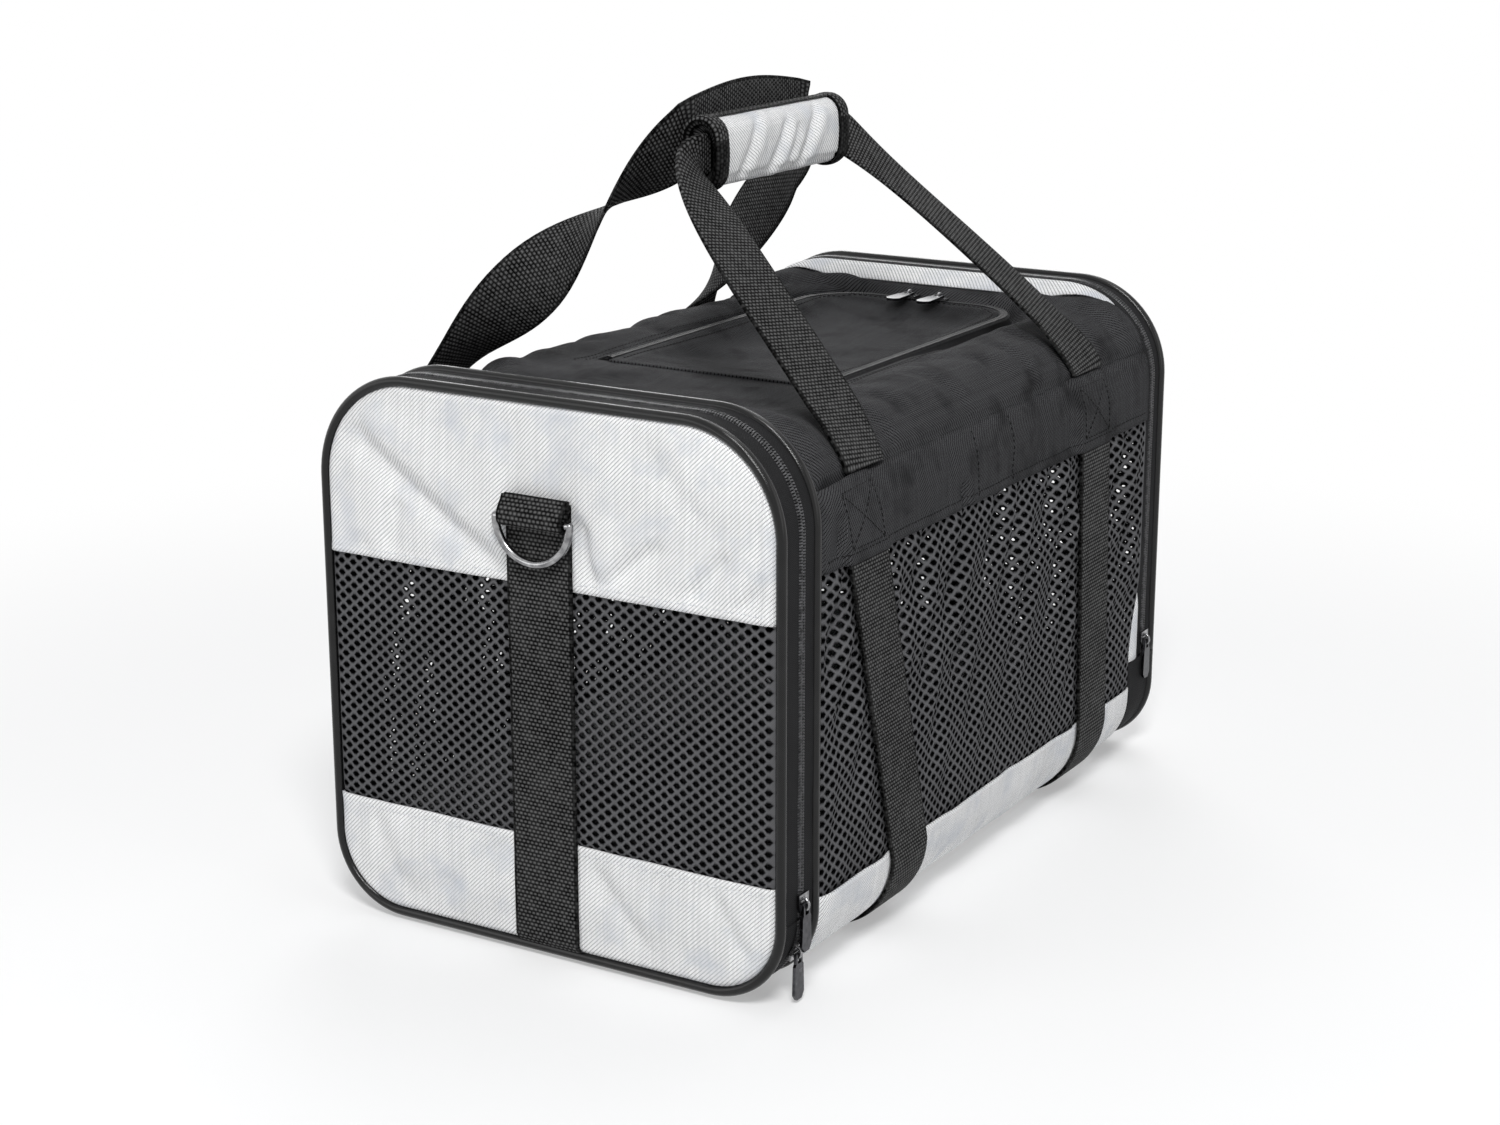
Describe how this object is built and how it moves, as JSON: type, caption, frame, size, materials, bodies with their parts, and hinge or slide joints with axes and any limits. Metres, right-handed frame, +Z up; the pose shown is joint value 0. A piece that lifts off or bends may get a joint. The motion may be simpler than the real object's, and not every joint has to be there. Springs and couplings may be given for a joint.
{
  "type": "pet carrier bag",
  "caption": "Soft-sided pet carrier bag with net windows, zipped end doors and top hatch, webbing handles with a padded wrap grip, and strap rings on its ends.",
  "frame": {"origin": "on the floor, under the middle of the bag", "axes": "front door faces -Y, the bag's length along Y, +X to the side with the front zip's sliders, +Z up"},
  "size_m": [0.2778, 0.4712, 0.415],
  "materials": {
    "grey_oxford": "woven oxford, matte",
    "black_fabric": "woven oxford, matte",
    "net": "knitted mesh, matte",
    "webbing": "woven webbing, matte",
    "piping": "coated fabric, satin",
    "zip_tape": "woven tape, matte",
    "zip_coil": "moulded coil, satin",
    "spring_wire": "drawn wire",
    "nickel": "polished nickel plate",
    "gunmetal": "dark nickel plate, satin",
    "base_board": "pressed board, matte",
    "fleece": "fleece, matte"
  },
  "bodies": {
    "shell": {"top_panel": "black_fabric", "side_band_right": "black_fabric", "side_band_left": "black_fabric", "side_net_right": "net", "side_net_left": "net", "lower_band_right": "grey_oxford", "lower_band_left": "grey_oxford", "bottom_panel": "black_fabric", "base_board": "base_board", "mat": "fleece", "front_belt": "webbing", "rear_belt": "webbing", "front_body_piping": "piping", "front_hoop_wire": "spring_wire", "front_body_tape": "zip_tape", "front_body_chain": "zip_coil", "front_hinge_tape": "zip_tape", "rear_gusset": "grey_oxford", "rear_body_tape": "zip_tape", "rear_body_chain": "zip_coil", "rear_lower_binding": "zip_tape", "rear_lower_panel": "grey_oxford", "rear_lower_piping": "piping", "rear_lower_strap": "webbing", "hatch_frame_chain": "zip_coil", "front_slider_lower": "nickel"},
    "front_door": {"front_upper_panel": "grey_oxford", "front_net": "net", "front_lower_panel": "grey_oxford", "front_door_piping": "piping", "front_door_tape": "zip_tape", "front_door_chain": "zip_coil", "front_strap": "webbing", "front_ring_loop": "webbing"},
    "front_strap_ring": {"front_ring": "nickel"},
    "rear_door": {"rear_upper_panel": "grey_oxford", "rear_net": "net", "rear_door_piping": "piping", "rear_door_tape": "zip_tape", "rear_door_chain": "zip_coil", "rear_strap": "webbing", "rear_ring_loop": "webbing"},
    "rear_strap_ring": {"rear_ring": "nickel"},
    "hatch": {"hatch_flap": "black_fabric", "hatch_flap_chain": "zip_coil"},
    "hatch_left_slider": {"hatch_slider_left": "nickel"},
    "hatch_right_slider": {"hatch_slider_right": "nickel"},
    "hatch_left_pull": {"hatch_pull_left": "gunmetal"},
    "hatch_right_pull": {"hatch_pull_right": "gunmetal"},
    "front_upper_slider": {"front_slider_upper": "nickel"},
    "front_upper_pull": {"front_pull_upper": "gunmetal"},
    "front_lower_pull": {"front_pull_lower": "gunmetal"},
    "rear_zip_slider": {"rear_slider": "nickel"},
    "rear_zip_pull": {"rear_pull": "gunmetal"},
    "handle_right": {"right_handle": "webbing", "grip_pad": "grey_oxford"},
    "grip_cover": {"grip_flap": "grey_oxford"},
    "handle_left": {"left_handle": "webbing"}
  },
  "joints": [
    {"name": "front_door_open", "type": "hinge", "parent": "shell", "child": "front_door", "pos_m": [0, -0.2224, 0.0048], "axis": [1, 0, 0], "range_deg": [0, 86]},
    {"name": "rear_door_open", "type": "hinge", "parent": "shell", "child": "rear_door", "pos_m": [0, 0.2272, 0.064], "axis": [-1, 0, 0], "range_deg": [0, 105]},
    {"name": "hatch_open", "type": "hinge", "parent": "shell", "child": "hatch", "pos_m": [0, -0.0698, 0.2742], "axis": [1, 0, 0], "range_deg": [0, 155]},
    {"name": "right_handle_fold", "type": "hinge", "parent": "shell", "child": "handle_right", "pos_m": [0.12978, 0, 0.2537], "axis": [0, 1, 0], "range_deg": [0, 150]},
    {"name": "left_handle_fold", "type": "hinge", "parent": "shell", "child": "handle_left", "pos_m": [-0.12978, 0, 0.2537], "axis": [0, -1, 0], "range_deg": [0, 150]},
    {"name": "grip_flap_open", "type": "hinge", "parent": "handle_right", "child": "grip_cover", "pos_m": [-0.0009, -0.008, 0.406], "axis": [0, -1, 0], "range_deg": [0, 140]},
    {"name": "front_ring_swing", "type": "hinge", "parent": "front_door", "child": "front_strap_ring", "pos_m": [0, -0.2315, 0.23], "axis": [-1, 0, 0], "range_deg": [-4, 165]},
    {"name": "rear_ring_swing", "type": "hinge", "parent": "rear_door", "child": "rear_strap_ring", "pos_m": [0, 0.2315, 0.23], "axis": [1, 0, 0], "range_deg": [-4, 165]},
    {"name": "front_slider_run", "type": "slide", "parent": "shell", "child": "front_upper_slider", "axis": [0, 0, 1], "range_m": [0, 0.17]},
    {"name": "front_upper_pull_swing", "type": "hinge", "parent": "front_upper_slider", "child": "front_upper_pull", "pos_m": [0.13717, -0.205, 0.0522], "axis": [0, -1, 0], "range_deg": [0, 165]},
    {"name": "front_lower_pull_swing", "type": "hinge", "parent": "shell", "child": "front_lower_pull", "pos_m": [0.13313, -0.205, 0.02595], "axis": [0, -1, 0], "range_deg": [0, 100]},
    {"name": "rear_slider_run", "type": "slide", "parent": "shell", "child": "rear_zip_slider", "axis": [0, 0, 1], "range_m": [0, 0.15]},
    {"name": "rear_pull_swing", "type": "hinge", "parent": "rear_zip_slider", "child": "rear_zip_pull", "pos_m": [0.13717, 0.209, 0.074], "axis": [0, -1, 0], "range_deg": [0, 165]},
    {"name": "hatch_left_slider_run", "type": "slide", "parent": "hatch", "child": "hatch_left_slider", "axis": [-1, 0, 0], "range_m": [0, 0.016]},
    {"name": "hatch_right_slider_run", "type": "slide", "parent": "hatch", "child": "hatch_right_slider", "axis": [1, 0, 0], "range_m": [0, 0.016]},
    {"name": "hatch_left_pull_swing", "type": "hinge", "parent": "hatch_left_slider", "child": "hatch_left_pull", "pos_m": [-0.01, 0.175, 0.27698], "axis": [-1, 0, 0], "range_deg": [0, 110]},
    {"name": "hatch_right_pull_swing", "type": "hinge", "parent": "hatch_right_slider", "child": "hatch_right_pull", "pos_m": [0.01, 0.175, 0.27698], "axis": [-1, 0, 0], "range_deg": [0, 110]}
  ],
  "couplings": [
    {"joint": "right_handle_fold", "follows": "hatch_open", "ratio": 0.96774},
    {"joint": "left_handle_fold", "follows": "hatch_open", "ratio": 0.96774}
  ]
}
